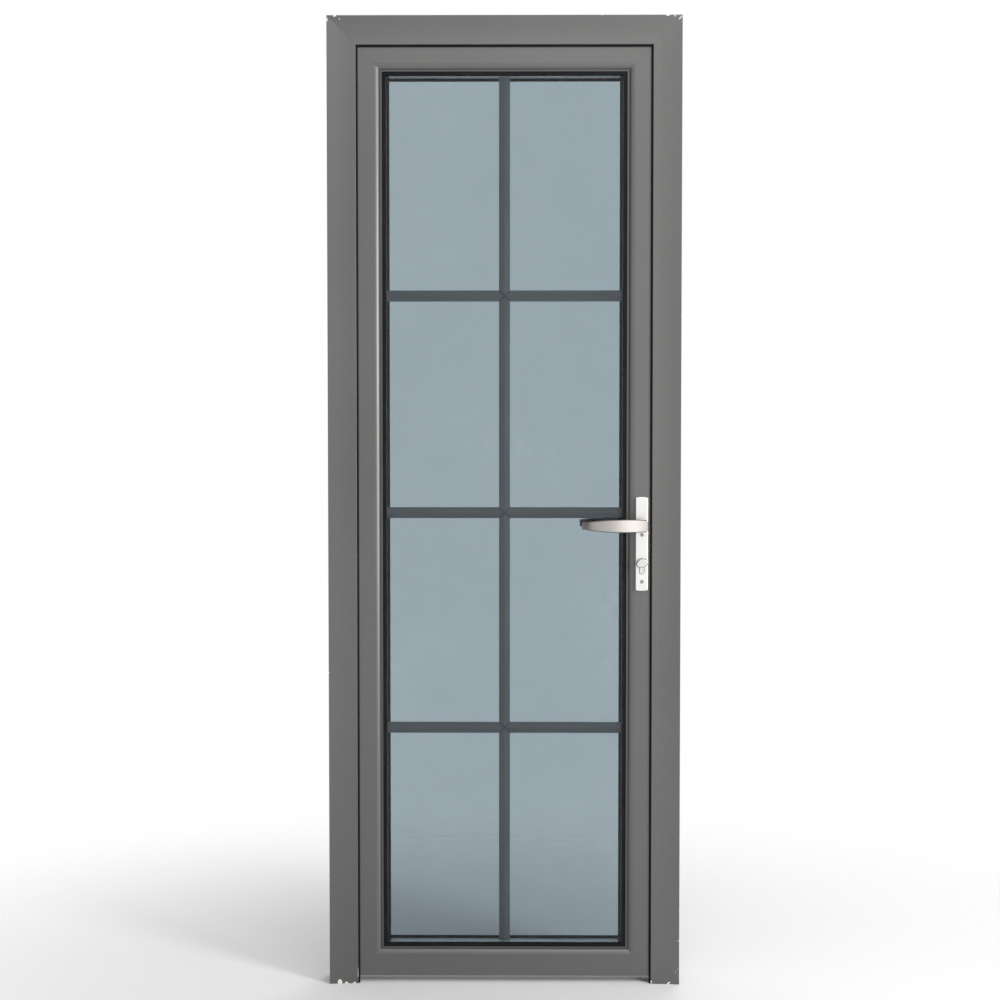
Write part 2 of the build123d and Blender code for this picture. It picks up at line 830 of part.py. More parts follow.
save(lock_faceplate, "lock_faceplate")

faceplate_screws = countersunk_screws(
    faceplate_spots, faceplate_screw_head_radius, faceplate_screw_radius, faceplate_screw_length
)
save(faceplate_screws, "faceplate_screws")

with BuildPart() as latch_bolt:
    latch_tip_x = leaf_half + latch_projection
    with BuildSketch(Plane.XY.offset(latch_level - latch_height / 2)):
        with BuildLine():
            Polyline(
                (leaf_half - latch_tail, -latch_thickness / 2),
                (latch_tip_x - latch_bevel, -latch_thickness / 2),
                (latch_tip_x, latch_thickness / 2 - latch_nose),
                (latch_tip_x, latch_thickness / 2),
                (leaf_half - latch_tail, latch_thickness / 2),
                close=True,
            )
        make_face()
    extrude(amount=latch_height)
save(latch_bolt, "latch_bolt")

with BuildPart() as deadbolt:
    with BuildSketch(Plane.YZ.offset(leaf_half - bolt_length)):
        with Locations((0, bolt_level)):
            Rectangle(bolt_thickness, bolt_height)
    extrude(amount=bolt_length)
save(deadbolt, "deadbolt")

with BuildPart() as lock_follower:
    with BuildSketch(facing(0)):
        with Locations((lock_x, lever_height)):
            Circle(follower_radius)
    extrude(amount=case_thickness / 2 - case_wall - follower_clearance, both=True)
    with BuildSketch(facing(0)):
        with Locations((lock_x, lever_height)):
            Circle(follower_boss_radius)
    extrude(amount=case_thickness / 2, both=True)
    with BuildSketch(facing(0)):
        with Locations((lock_x, lever_height)):
            Rectangle(spindle_side + 2 * spindle_clearance, spindle_side + 2 * spindle_clearance)
    extrude(amount=case_thickness, both=True, mode=Mode.SUBTRACT)
save(lock_follower, "lock_follower")

with BuildPart() as spindle:
    with BuildSketch(facing(0)):
        with Locations((lock_x, lever_height)):
            Rectangle(spindle_side, spindle_side)
    extrude(amount=spindle_reach, both=True)
save(spindle, "spindle")

# Profile cylinder: body with a slot for the cam, thumb-turn on the shown face, key plug behind
with BuildPart() as cylinder_body:
    with BuildSketch(facing(0)):
        add(cylinder_outline(0))
    extrude(amount=cylinder_length / 2, both=True)
    with BuildSketch(facing(0)):
        with Locations((lock_x, cylinder_level - cam_radius - cam_slot_clearance)):
            Rectangle(
                2 * (cylinder_radius + overrun),
                cam_radius + cam_slot_clearance + cylinder_radius + overrun,
                align=(Align.CENTER, Align.MIN),
            )
    extrude(amount=cam_thickness / 2 + cam_slot_clearance, both=True, mode=Mode.SUBTRACT)
    with BuildSketch(facing(0)):
        with Locations((lock_x, cylinder_level)):
            Circle(cylinder_bore)
    extrude(amount=cylinder_length, both=True, mode=Mode.SUBTRACT)
    with Locations(spot(leaf_half, 0, cylinder_level - cylinder_screw_drop, right)):
        Hole(cylinder_screw_radius + screw_hole_clearance, depth=backset + cylinder_lobe_width)
save(cylinder_body, "cylinder_body")

cylinder_screw = countersunk_screws(
    [cylinder_screw_spot], cylinder_screw_head_radius, cylinder_screw_radius, cylinder_screw_length
)
save(cylinder_screw, "cylinder_screw")

shaft_radius = cylinder_bore - turning_clearance
shaft_start = cam_thickness / 2 + turning_clearance
with BuildPart() as cylinder_cam:
    with BuildSketch(facing(0)):
        with Locations((lock_x, cylinder_level)):
            Circle(cam_disc_radius)
            Rectangle(cam_finger_width, cam_radius, align=(Align.CENTER, Align.MAX))
    extrude(amount=cam_thickness / 2, both=True)
save(cylinder_cam, "cylinder_cam")

with BuildPart() as thumb_turn:
    neck_y = -cylinder_length / 2 - turning_clearance
    knob_y = neck_y - turn_neck_length
    with BuildSketch(facing(-shaft_start)):
        with Locations((lock_x, cylinder_level)):
            Circle(shaft_radius)
    extrude(amount=-shaft_start - neck_y)
    with BuildSketch(facing(neck_y)):
        with Locations((lock_x, cylinder_level)):
            Circle(turn_neck_radius)
    extrude(amount=turn_neck_length)
    with BuildSketch(facing(knob_y)):
        with Locations((lock_x, cylinder_level)):
            Ellipse(turn_length / 2, turn_height / 2, rotation=turn_tilt)
    extrude(amount=turn_depth)
    fillet(thumb_turn.faces().sort_by(Axis.Y)[0].edges(), radius=turn_edge)
save(thumb_turn, "thumb_turn")

with BuildPart() as key_plug:
    with BuildSketch(facing(shaft_start)):
        with Locations((lock_x, cylinder_level)):
            Circle(shaft_radius)
    extrude(amount=shaft_start - cylinder_length / 2)
    with BuildSketch(facing(cylinder_length / 2)):
        with Locations((lock_x, cylinder_level)):
            Rectangle(key_slot_width, key_slot_height)
    extrude(amount=key_slot_depth, mode=Mode.SUBTRACT)
save(key_plug, "key_plug")


# Handles: a long plate and a lever on each face, held by two through screws
def handle_plate(face_y, out):
    # The plate stands on the leaf face at face_y and grows along out, -1 to the viewer and 1 away
    end = plate_length / 2
    shoulder = end - plate_end_bulge
    half = plate_width / 2
    with BuildPart() as plate:
        with BuildSketch(facing(face_y)):
            with BuildLine():
                for side in (-1, 1):
                    Line(
                        (lock_x + side * half, plate_level - shoulder),
                        (lock_x + side * half, plate_level + shoulder),
                    )
                    ThreePointArc(
                        (lock_x - half, plate_level + side * shoulder),
                        (lock_x, plate_level + side * end),
                        (lock_x + half, plate_level + side * shoulder),
                    )
            make_face()
        extrude(amount=-out * plate_thickness)
        outer_face = plate.faces().sort_by(Axis.Y)[-1 if out > 0 else 0]
        fillet(outer_face.edges(), radius=plate_edge)
        with BuildSketch(facing(face_y)):
            add(cylinder_outline(cylinder_cut_clearance))
            with Locations((lock_x, lever_height)):
                Circle(lever_neck_radius + plate_bearing_clearance)
        extrude(amount=-out * plate_thickness, mode=Mode.SUBTRACT)
    return plate


shown_plate = handle_plate(leaf_front, -1)
plate_face = leaf_front - plate_thickness
plate_spots = [spot(lock_x, plate_face, level, -away) for level in plate_screw_levels]
with BuildPart() as front_handle_plate:
    add(shown_plate.part)
    with Locations(*plate_spots):
        CounterSinkHole(
            plate_screw_radius + screw_hole_clearance,
            plate_screw_head_radius + screw_hole_clearance,
            depth=plate_thickness + overrun,
            counter_sink_angle=countersink_angle,
        )
save(front_handle_plate, "front_handle_plate")

hidden_plate = handle_plate(leaf_rear, 1)
with BuildPart() as rear_handle_plate:
    add(hidden_plate.part)
    with Locations(*[spot(lock_x, leaf_rear, level, -away) for level in plate_screw_levels]):
        Hole(plate_screw_radius + screw_hole_clearance, depth=plate_thickness - plate_screw_tip)
save(rear_handle_plate, "rear_handle_plate")

handle_screws = countersunk_screws(
    plate_spots,
    plate_screw_head_radius,
    plate_screw_radius,
    leaf_thickness + 2 * (plate_thickness - plate_screw_tip),
)
save(handle_screws, "handle_screws")

with BuildPart() as front_lever:
    lever_front = leaf_front - lever_projection
    heel_x = lock_x + lever_heel
    broad_x = lock_x - lever_broad_at
    tip_x = lock_x - lever_reach
    bend_x = lock_x - lever_reach * lever_bend_share
    with BuildSketch(facing(leaf_front - plate_thickness)) as lever_outline:
        with BuildLine():
            ThreePointArc(
                (heel_x, lever_height + lever_heel_half),
                (heel_x + lever_heel_bulge, lever_height),
                (heel_x, lever_height - lever_heel_half),
            )
            for side in (-1, 1):
                Spline(
                    (heel_x, lever_height + side * lever_heel_half),
                    (broad_x, lever_height + side * lever_broad_half),
                    (tip_x, lever_height + side * lever_tip_half),
                )
            Line((tip_x, lever_height + lever_tip_half), (tip_x, lever_height - lever_tip_half))
        make_face()
        fillet(lever_outline.vertices().group_by(Axis.X)[-1], radius=lever_heel_corner)
    extrude(amount=lever_projection)
    with BuildSketch(Plane.XY.offset(lever_height - lever_broad_half - overrun)):
        with BuildLine():
            front_heel = (heel_x + overrun, lever_front + lever_heel_back)
            front_tip = (tip_x + lever_tip_facet, lever_front + lever_tip_return)
            blunt_y = lever_front + lever_tip_return + lever_tip_thickness * lever_tip_blunt_share
            back_heel = (heel_x + overrun, lever_front + lever_heel_back + lever_bar_thickness)
            back_tip = (tip_x - overrun, lever_front + lever_tip_return + lever_tip_thickness)
            Spline(front_heel, (broad_x, lever_front), (bend_x, lever_front + lever_bow), front_tip)
            Polyline(front_tip, (tip_x, blunt_y), (tip_x - overrun, blunt_y), back_tip)
            Spline(
                back_tip,
                (bend_x, lever_front + lever_bow + lever_bar_thickness),
                (broad_x, lever_front + lever_bar_thickness),
                back_heel,
            )
            Line(back_heel, front_heel)
        make_face()
    extrude(amount=2 * (lever_broad_half + overrun), mode=Mode.INTERSECT)
    fillet(front_lever.faces().sort_by(Axis.Y)[0].edges(), radius=lever_edge)
    fillet(front_lever.faces().sort_by(SortBy.AREA)[-1].edges(), radius=lever_back_edge)
    neck_start = leaf_front - plate_thickness + lever_neck_sink
    with BuildSketch(facing(neck_start)):
        with Locations((lock_x, lever_height)):
            Circle(lever_neck_radius)
    extrude(amount=neck_start - lever_front - lever_heel_back)
    with BuildSketch(facing(neck_start)):
        with Locations((lock_x, lever_height)):
            Rectangle(spindle_side + 2 * spindle_clearance, spindle_side + 2 * spindle_clearance)
    extrude(amount=neck_start + spindle_reach + spindle_clearance, mode=Mode.SUBTRACT)
save(front_lever, "front_lever")

with BuildPart() as rear_lever:
    mirror(front_lever.part, about=Plane.XZ)
save(rear_lever, "rear_lever")
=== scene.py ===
import json
import math
import bpy
import bmesh
from mathutils import Euler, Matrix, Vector


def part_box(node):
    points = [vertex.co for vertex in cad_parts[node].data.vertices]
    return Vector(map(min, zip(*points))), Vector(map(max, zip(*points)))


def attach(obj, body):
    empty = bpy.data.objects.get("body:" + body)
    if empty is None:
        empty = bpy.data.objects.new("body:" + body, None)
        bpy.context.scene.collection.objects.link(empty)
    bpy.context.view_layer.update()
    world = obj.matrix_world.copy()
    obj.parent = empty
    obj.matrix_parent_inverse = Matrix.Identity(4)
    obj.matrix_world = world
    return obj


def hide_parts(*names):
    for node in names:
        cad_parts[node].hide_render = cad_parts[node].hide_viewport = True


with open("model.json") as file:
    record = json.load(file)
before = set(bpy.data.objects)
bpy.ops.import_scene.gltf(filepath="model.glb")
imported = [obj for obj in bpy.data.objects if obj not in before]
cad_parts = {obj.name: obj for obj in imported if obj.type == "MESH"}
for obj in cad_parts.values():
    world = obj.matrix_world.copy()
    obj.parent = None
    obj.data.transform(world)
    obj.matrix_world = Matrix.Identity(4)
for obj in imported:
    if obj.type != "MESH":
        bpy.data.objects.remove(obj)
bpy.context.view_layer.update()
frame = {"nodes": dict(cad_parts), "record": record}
nodes = frame["nodes"]
print("frame loaded:", len(nodes), "nodes")


# node trees

def addNode(tree, kind, inputs=None, **settings):
    node = tree.nodes.new(kind)
    for key, value in settings.items():
        setattr(node, key, value)
    for key, value in (inputs or {}).items():
        feed(tree, node.inputs[key], value)
    return node


def feed(tree, socket, value):
    if isinstance(value, bpy.types.NodeSocket):
        tree.links.new(value, socket)
    else:
        socket.default_value = value


def calc(tree, operation, first, second=0.0, third=0.0):
    node = addNode(tree, "ShaderNodeMath", operation=operation)
    for socket, value in zip(node.inputs, (first, second, third)):
        feed(tree, socket, value)
    return node.outputs[0]


def remap(tree, value, low, high, toLow=0.0, toHigh=1.0, smooth=True):
    kind = "SMOOTHSTEP" if smooth else "LINEAR"
    node = addNode(tree, "ShaderNodeMapRange", interpolation_type=kind)
    for socket, number in zip(node.inputs, (value, low, high, toLow, toHigh)):
        feed(tree, socket, number)
    return node.outputs[0]


def blendColour(tree, factor, first, second):
    node = addNode(tree, "ShaderNodeMix", data_type="RGBA")
    feed(tree, node.inputs[0], factor)
    feed(tree, node.inputs[6], first)
    feed(tree, node.inputs[7], second)
    return node.outputs[2]


def noise(tree, coords, scale, detail=2.0, rough=0.5):
    inputs = {"Vector": coords, "Scale": scale, "Detail": detail, "Roughness": rough}
    return addNode(tree, "ShaderNodeTexNoise", inputs).outputs[0]


def objectCoords(tree):
    return addNode(tree, "ShaderNodeTexCoord").outputs["Object"]


def axisValues(tree, coords):
    return addNode(tree, "ShaderNodeSeparateXYZ", {"Vector": coords}).outputs


def bumpFrom(tree, height, strength, distance):
    inputs = {"Height": height, "Strength": strength, "Distance": distance}
    return addNode(tree, "ShaderNodeBump", inputs).outputs[0]


def newGroup(name, inputs, outputs):
    tree = bpy.data.node_groups.new(name, "ShaderNodeTree")
    for label, value in inputs.items():
        socket = tree.interface.new_socket(label, in_out="INPUT", socket_type="NodeSocketFloat")
        socket.default_value = value
    for label in outputs:
        tree.interface.new_socket(label, in_out="OUTPUT", socket_type="NodeSocketFloat")
    return tree, tree.nodes.new("NodeGroupInput").outputs, tree.nodes.new("NodeGroupOutput").inputs


def useGroup(tree, group, **values):
    node = addNode(tree, "ShaderNodeGroup", node_tree=group)
    for label, value in values.items():
        feed(tree, node.inputs[label], value)
    return node.outputs


def newMaterial(name, **values):
    material = bpy.data.materials.new(name)
    material.use_nodes = True
    shader = material.node_tree.nodes["Principled BSDF"]
    for label, value in values.items():
        shader.inputs[label].default_value = value
    return material, material.node_tree, shader.inputs


# shared surface effects

# Fine grain of a metallic powder coat, with a slow drift of tone and an orange-peel height
fleckLook = {"grainSpan": (0.25, 0.75), "driftScale": 2.3, "driftSpan": (0.3, 0.7)}
fleckSpan = (0.85, 1.15)   # the tone's usual reach
fleck, given, out = newGroup(
    "coatFleck",
    {"fleckScale": 640.0, "fleckDepth": 0.13, "driftDepth": 0.05, "peelScale": 260.0},
    ("tone", "peel"),
)
coords = objectCoords(fleck)
grain = noise(fleck, coords, given["fleckScale"], detail=3.0, rough=0.7)
grain = remap(fleck, grain, *fleckLook["grainSpan"], -1.0, 1.0, False)
drift = noise(fleck, coords, fleckLook["driftScale"])
drift = remap(fleck, drift, *fleckLook["driftSpan"], -1.0, 1.0, False)
grainTone = calc(fleck, "MULTIPLY", grain, given["fleckDepth"])
driftTone = calc(fleck, "MULTIPLY_ADD", drift, given["driftDepth"], 1.0)
feed(fleck, out["tone"], calc(fleck, "ADD", grainTone, driftTone))
feed(fleck, out["peel"], noise(fleck, coords, given["peelScale"], detail=1.0))

# Hand marks and dust that dull a smooth surface here and there
smudgeLook = {"broadSpan": (0.42, 0.72), "streakSpan": (0.35, 0.75)}
smudge, given, out = newGroup("smudges", {"markScale": 7.0, "fineScale": 55.0}, ("mark",))
coords = objectCoords(smudge)
broad = noise(smudge, coords, given["markScale"], detail=3.0)
broad = remap(smudge, broad, *smudgeLook["broadSpan"])
streak = noise(smudge, coords, given["fineScale"], detail=4.0, rough=0.65)
streak = remap(smudge, streak, *smudgeLook["streakSpan"])
feed(smudge, out["mark"], calc(smudge, "MULTIPLY", broad, streak))

# Satin grain that runs along one axis of the piece
satin, given, out = newGroup("satinGrain", {"alongX": 40.0, "alongY": 1500.0, "alongZ": 1500.0}, ("grain",))
stretch = addNode(satin, "ShaderNodeCombineXYZ")
for axis, label in enumerate(("alongX", "alongY", "alongZ")):
    feed(satin, stretch.inputs[axis], given[label])
stretched = addNode(satin, "ShaderNodeVectorMath", operation="MULTIPLY")
feed(satin, stretched.inputs[0], objectCoords(satin))
feed(satin, stretched.inputs[1], stretch.outputs[0])
feed(satin, out["grain"], noise(satin, stretched.outputs[0], 1.0))

# Hairline where two mitred bars meet at a corner
mitre, given, out = newGroup(
    "mitreHairline",
    {"outerX": 0.0, "outerTop": 0.0, "outerBottom": 0.0, "halfWidth": 0.0005},
    ("line", "inset"),
)
x, y, z = axisValues(mitre, objectCoords(mitre))
fromSide = calc(mitre, "SUBTRACT", given["outerX"], calc(mitre, "ABSOLUTE", x))
fromTop = calc(mitre, "SUBTRACT", given["outerTop"], z)
fromBottom = calc(mitre, "SUBTRACT", z, given["outerBottom"])
fromEnd = calc(mitre, "MINIMUM", fromTop, fromBottom)
apart = calc(mitre, "ABSOLUTE", calc(mitre, "SUBTRACT", fromSide, fromEnd))
feed(mitre, out["line"], calc(mitre, "LESS_THAN", apart, given["halfWidth"]))
feed(mitre, out["inset"], calc(mitre, "MINIMUM", fromSide, fromEnd))
print("shared surface effects ready")


# finishes

greyCoatLook = {
    "tone": (0.141, 0.139, 0.137),
    "chip": (0.76, 0.75, 0.72, 1),
    "mitreShade": 0.84,
    "metal": 0.7,
    "specular": 0.4,
    "rough": (0.47, 0.37),
    "chipRough": 0.3,
    "peel": {"strength": 0.12, "distance": 0.0006},
    "edgeInset": (0.0560, 0.0585),   # painted shade: a darker line beside the glazing gasket
    "paintedGasketShade": 0.66,
}
chipLook = {
    "raggedScale": 420.0,
    "raggedSpan": (0.2, 0.8),
    "raggedReach": (0.55, 1.45),
    "fleckScale": 150.0,
    "fleckLimit": 0.80,      # fewer flecks as this rises
    "clusterScale": 9.0,
    "clusterDepth": 0.30,
    "edgeFade": 80.0,        # flecks thin out this fast away from the edge
    "faceDepth": 0.005,
}
jambLow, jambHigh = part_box("lock_jamb")
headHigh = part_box("frame_head")[1]
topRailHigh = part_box("top_rail")[1]
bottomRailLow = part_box("bottom_rail")[0]
floorJoint = -1.0   # under the floor, because the jambs' feet have no mitre

# Bare spots as (x, z, half length, half width, turn in degrees) in metres on the shown face
chipSpots = [
    (0.3775, 2.0940, 0.0058, 0.0010, 48),   # open mitre, top right
    (0.3500, 2.0990, 0.0040, 0.0014, 0),
    (0.3655, 2.0975, 0.0016, 0.0012, 0),
    (-0.3640, 2.0985, 0.0034, 0.0018, 8),   # top left corner
    (-0.3540, 2.0920, 0.0022, 0.0007, -60),
    (-0.3805, 2.0900, 0.0040, 0.0010, 88),
    (0.3195, 0.0040, 0.0026, 0.0045, 0),    # right foot
    (0.3590, 0.0022, 0.0042, 0.0016, 35),
    (0.3745, 0.0270, 0.0012, 0.0008, 40),
    (0.3785, 0.0335, 0.0011, 0.0008, 0),
    (0.3800, 0.0960, 0.0020, 0.0009, 20),
    (-0.3600, 0.0035, 0.0048, 0.0056, 20),  # left foot
    (-0.3455, 0.0010, 0.0036, 0.0026, 0),
    (-0.3280, 0.0008, 0.0036, 0.0020, 0),
    (-0.3195, 0.0280, 0.0100, 0.0012, 88),  # worn lip, left foot
    (-0.3190, 0.0165, 0.0030, 0.0020, 70),
]


def scaledTone(tree, tone, amount):
    node = addNode(tree, "ShaderNodeVectorMath", operation="SCALE")
    node.inputs[0].default_value = tone
    feed(tree, node.inputs["Scale"], amount)
    return node.outputs[0]


# How far out a point lies in an oval on the face: 0 at its middle, 1 at its rim
def ovalReach(tree, dx, dz, halfLength, halfWidth, turn):
    alongX, alongZ = math.cos(math.radians(turn)), math.sin(math.radians(turn))
    along = calc(tree, "MULTIPLY", dz, alongZ / halfLength)
    along = calc(tree, "MULTIPLY_ADD", dx, alongX / halfLength, along)
    across = calc(tree, "MULTIPLY", dx, -alongZ / halfWidth)
    across = calc(tree, "MULTIPLY_ADD", dz, alongX / halfWidth, across)
    return calc(tree, "MULTIPLY_ADD", along, along, calc(tree, "MULTIPLY", across, across))


def makeGreyCoat(name, outerX, outerTop, outerBottom, chipped):
    look = greyCoatLook
    material, tree, shader = newMaterial(name, Metallic=look["metal"])
    shader["Specular IOR Level"].default_value = look["specular"]
    surface = useGroup(tree, fleck)
    corner = useGroup(tree, mitre, outerX=outerX, outerTop=outerTop, outerBottom=outerBottom)
    shade = remap(tree, corner["line"], 0.0, 1.0, 1.0, look["mitreShade"], False)
    if not chipped:
        # painted shade beside the glazing gasket, on the leaf only
        edge = remap(tree, corner["inset"], *look["edgeInset"], 1.0, look["paintedGasketShade"])
        shade = calc(tree, "MULTIPLY", shade, edge)
    colour = scaledTone(tree, look["tone"], calc(tree, "MULTIPLY", surface["tone"], shade))
    rough = remap(tree, surface["tone"], *fleckSpan, *look["rough"], False)
    if chipped:
        chips = chippedCoat(tree, outerX, outerTop)
        colour = blendColour(tree, chips, colour, look["chip"])
        rough = calc(tree, "MULTIPLY_ADD", chips, look["chipRough"], rough)
    feed(tree, shader["Base Color"], colour)
    feed(tree, shader["Roughness"], rough)
    feed(tree, shader["Normal"], bumpFrom(tree, surface["peel"], **look["peel"]))
    return material


# Bare aluminium where the coat is knocked off: ragged spots, and small flecks along the outer edges
def chippedCoat(tree, outerX, outerTop):
    look = chipLook
    coords = objectCoords(tree)
    x, y, z = axisValues(tree, coords)
    ragged = noise(tree, coords, look["raggedScale"], detail=3.0, rough=0.6)
    reach = remap(tree, ragged, *look["raggedSpan"], *look["raggedReach"], False)
    side = calc(tree, "SUBTRACT", outerX, calc(tree, "ABSOLUTE", x))
    edge = calc(tree, "MINIMUM", side, calc(tree, "SUBTRACT", outerTop, z))
    cluster = noise(tree, coords, look["clusterScale"], detail=1.0)
    limit = calc(tree, "MULTIPLY_ADD", cluster, -look["clusterDepth"], look["fleckLimit"])
    limit = calc(tree, "MULTIPLY_ADD", edge, look["edgeFade"], limit)
    flecks = noise(tree, coords, look["fleckScale"], detail=4.0, rough=0.65)
    chips = calc(tree, "GREATER_THAN", flecks, limit)
    for spotX, spotZ, halfLength, halfWidth, turn in chipSpots:
        dx = calc(tree, "SUBTRACT", x, spotX)
        dz = calc(tree, "SUBTRACT", z, spotZ)
        far = ovalReach(tree, dx, dz, halfLength, halfWidth, turn)
        chips = calc(tree, "MAXIMUM", chips, calc(tree, "LESS_THAN", far, reach))
    shown = calc(tree, "LESS_THAN", y, jambLow.y + look["faceDepth"])
    return calc(tree, "MULTIPLY", chips, shown)


barLook = {
    "tone": (0.225, 0.225, 0.227),
    "metal": 0.3,
    "rough": (0.5, 0.4),
    "fleck": {"fleckScale": 1300.0, "fleckDepth": 0.12},
    "peel": {"strength": 0.1, "distance": 0.0004},
    "rows": ("glazing_bar_lower_left", "glazing_bar_middle_left", "glazing_bar_upper_left"),
    "seamHalf": 0.0022,   # dark seam where the mitred points meet
    "seamShade": 0.1,
}


def makeBarCoat():
    look = barLook
    material, tree, shader = newMaterial("barCoat", Metallic=look["metal"])
    surface = useGroup(tree, fleck, **look["fleck"])
    x, y, z = axisValues(tree, objectCoords(tree))
    fromMiddle = calc(tree, "ABSOLUTE", x)
    shade = surface["tone"]
    for row in look["rows"]:
        low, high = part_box(row)
        fromRow = calc(tree, "ABSOLUTE", calc(tree, "SUBTRACT", z, (low.z + high.z) / 2))
        apart = calc(tree, "ABSOLUTE", calc(tree, "SUBTRACT", fromMiddle, fromRow))
        seam = remap(tree, apart, 0.0, look["seamHalf"], look["seamShade"], 1.0)
        shade = calc(tree, "MULTIPLY", shade, seam)
    feed(tree, shader["Base Color"], scaledTone(tree, look["tone"], shade))
    feed(tree, shader["Roughness"], remap(tree, surface["tone"], *fleckSpan, *look["rough"], False))
    feed(tree, shader["Normal"], bumpFrom(tree, surface["peel"], **look["peel"]))
    return material


hingeLook = {
    "tone": (0.135, 0.133, 0.131),
    "metal": 0.35,
    "rough": (0.42, 0.55),
    "fleck": {"fleckScale": 1100.0, "fleckDepth": 0.1},
    "rub": {"markScale": 30.0, "fineScale": 240.0},
    "peel": {"strength": 0.1, "distance": 0.0004},
}


def makeHingeCoat():
    look = hingeLook
    material, tree, shader = newMaterial("hingeCoat", Metallic=look["metal"])
    surface = useGroup(tree, fleck, **look["fleck"])
    rub = useGroup(tree, smudge, **look["rub"])["mark"]
    feed(tree, shader["Base Color"], scaledTone(tree, look["tone"], surface["tone"]))
    feed(tree, shader["Roughness"], remap(tree, rub, 0.0, 1.0, *look["rough"]))
    feed(tree, shader["Normal"], bumpFrom(tree, surface["peel"], **look["peel"]))
    return material


glassLook = {
    "clean": (0.548, 0.606, 0.640, 1),
    "marked": (0.58, 0.637, 0.666, 1),
    "mirror": (0.45, 0.45, 0.45, 1),   # less than real glass, so that the strips beside the panes stay dark
    "rough": (0.0, 0.03),
    "marks": {"markScale": 3.0, "fineScale": 40.0},
}


def makeGlass():
    look = glassLook
    material, tree, shader = newMaterial("paneGlass", IOR=1.5)
    shader["Transmission Weight"].default_value = 1.0
    shader["Specular Tint"].default_value = look["mirror"]
    marks = useGroup(tree, smudge, **look["marks"])["mark"]
    feed(tree, shader["Base Color"], blendColour(tree, marks, look["clean"], look["marked"]))
    feed(tree, shader["Roughness"], remap(tree, marks, 0.0, 1.0, *look["rough"]))
    return material


rubberLook = {
    "clean": (0.006, 0.006, 0.007, 1),
    "dusty": (0.02, 0.02, 0.021, 1),
    "specular": 0.12,
    "rough": (0.6, 0.8),
    "dust": {"markScale": 16.0, "fineScale": 300.0},
    "grainScale": 1800.0,
    "grain": {"strength": 0.15, "distance": 0.0002},
}


def makeRubber():
    look = rubberLook
    material, tree, shader = newMaterial("blackRubber")
    shader["Specular IOR Level"].default_value = look["specular"]
    dust = useGroup(tree, smudge, **look["dust"])["mark"]
    grain = noise(tree, objectCoords(tree), look["grainScale"])
    feed(tree, shader["Base Color"], blendColour(tree, dust, look["clean"], look["dusty"]))
    feed(tree, shader["Roughness"], remap(tree, dust, 0.0, 1.0, *look["rough"]))
    feed(tree, shader["Normal"], bumpFrom(tree, grain, **look["grain"]))
    return material


# Spacer bar with the vent dots that such bars have on the side between the panes
spacerLook = {
    "tones": ((0.90, 0.90, 0.91, 1), (0.95, 0.95, 0.955, 1)),
    "side": (0.09, 0.09, 0.095, 1),    # painted shade on the upright sides
    "sideReach": (0.014, 0.012),
    "vent": (0.05, 0.05, 0.055, 1),
    "ventAlong": 1400.0,
    "ventAcross": 900.0,
    "ventEdge": (0.7, 0.9),
    "metal": 0.3,
    "rough": (0.5, 0.38),
    "fleckDepth": 0.05,
}
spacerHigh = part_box("spacer_frame")[1]


def makeSpacer():
    look = spacerLook
    material, tree, shader = newMaterial("spacerAluminium", Metallic=look["metal"])
    x, y, z = axisValues(tree, objectCoords(tree))
    along = calc(tree, "SINE", calc(tree, "MULTIPLY", calc(tree, "ADD", x, z), look["ventAlong"]))
    across = calc(tree, "SINE", calc(tree, "MULTIPLY", y, look["ventAcross"]))
    vent = remap(tree, calc(tree, "MULTIPLY", along, across), *look["ventEdge"])
    tone = useGroup(tree, fleck, fleckDepth=look["fleckDepth"])["tone"]
    base = blendColour(tree, remap(tree, tone, *fleckSpan), *look["tones"])
    # painted shade: the upright sides of the spacer are darker than its top and bottom
    sideStart, sideEnd = (spacerHigh.x - inset for inset in look["sideReach"])
    upright = remap(tree, calc(tree, "ABSOLUTE", x), sideStart, sideEnd)
    base = blendColour(tree, upright, base, look["side"])
    feed(tree, shader["Base Color"], blendColour(tree, vent, base, look["vent"]))
    feed(tree, shader["Roughness"], remap(tree, tone, *fleckSpan, *look["rough"]))
    return material


# Painted shade on the rounded edge all round the lever's face, whose sides follow a shallow curve
leverLook = {
    "broadAt": 0.262, "curve": 0.72,
    "bendAt": 0.225, "bend": 6.3,       # the face bends back towards the tip
    "slopeAt": 0.235, "slope": 0.165,   # and slopes back towards the heel
    "edge": (0.0024, 0.0004),
    "rounding": (0.003, 0.0015),
}
leverLow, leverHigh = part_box("front_lever")


def leverEdgePaintedShade(tree):
    look = leverLook
    x, y, z = axisValues(tree, objectCoords(tree))
    fromBroad = calc(tree, "SUBTRACT", x, look["broadAt"])
    half = calc(tree, "MULTIPLY", calc(tree, "MULTIPLY", fromBroad, fromBroad), -look["curve"])
    half = calc(tree, "ADD", half, (leverHigh.z - leverLow.z) / 2)
    fromMiddle = calc(tree, "ABSOLUTE", calc(tree, "SUBTRACT", z, (leverLow.z + leverHigh.z) / 2))
    toSide = calc(tree, "SUBTRACT", half, fromMiddle)
    toHeelEnd = calc(tree, "SUBTRACT", leverHigh.x, x)
    toTipEnd = calc(tree, "SUBTRACT", x, leverLow.x)
    toEnd = calc(tree, "MINIMUM", toHeelEnd, toTipEnd)
    edge = remap(tree, calc(tree, "MINIMUM", toSide, toEnd), *look["edge"])
    toTip = calc(tree, "MAXIMUM", calc(tree, "SUBTRACT", look["bendAt"], x), 0.0)
    toHeel = calc(tree, "MAXIMUM", calc(tree, "SUBTRACT", x, look["slopeAt"]), 0.0)
    face = calc(tree, "MULTIPLY_ADD", toHeel, look["slope"], leverLow.y)
    face = calc(tree, "MULTIPLY_ADD", calc(tree, "MULTIPLY", toTip, toTip), look["bend"], face)
    rounding = remap(tree, calc(tree, "SUBTRACT", y, face), *look["rounding"])
    return calc(tree, "MULTIPLY", edge, rounding)
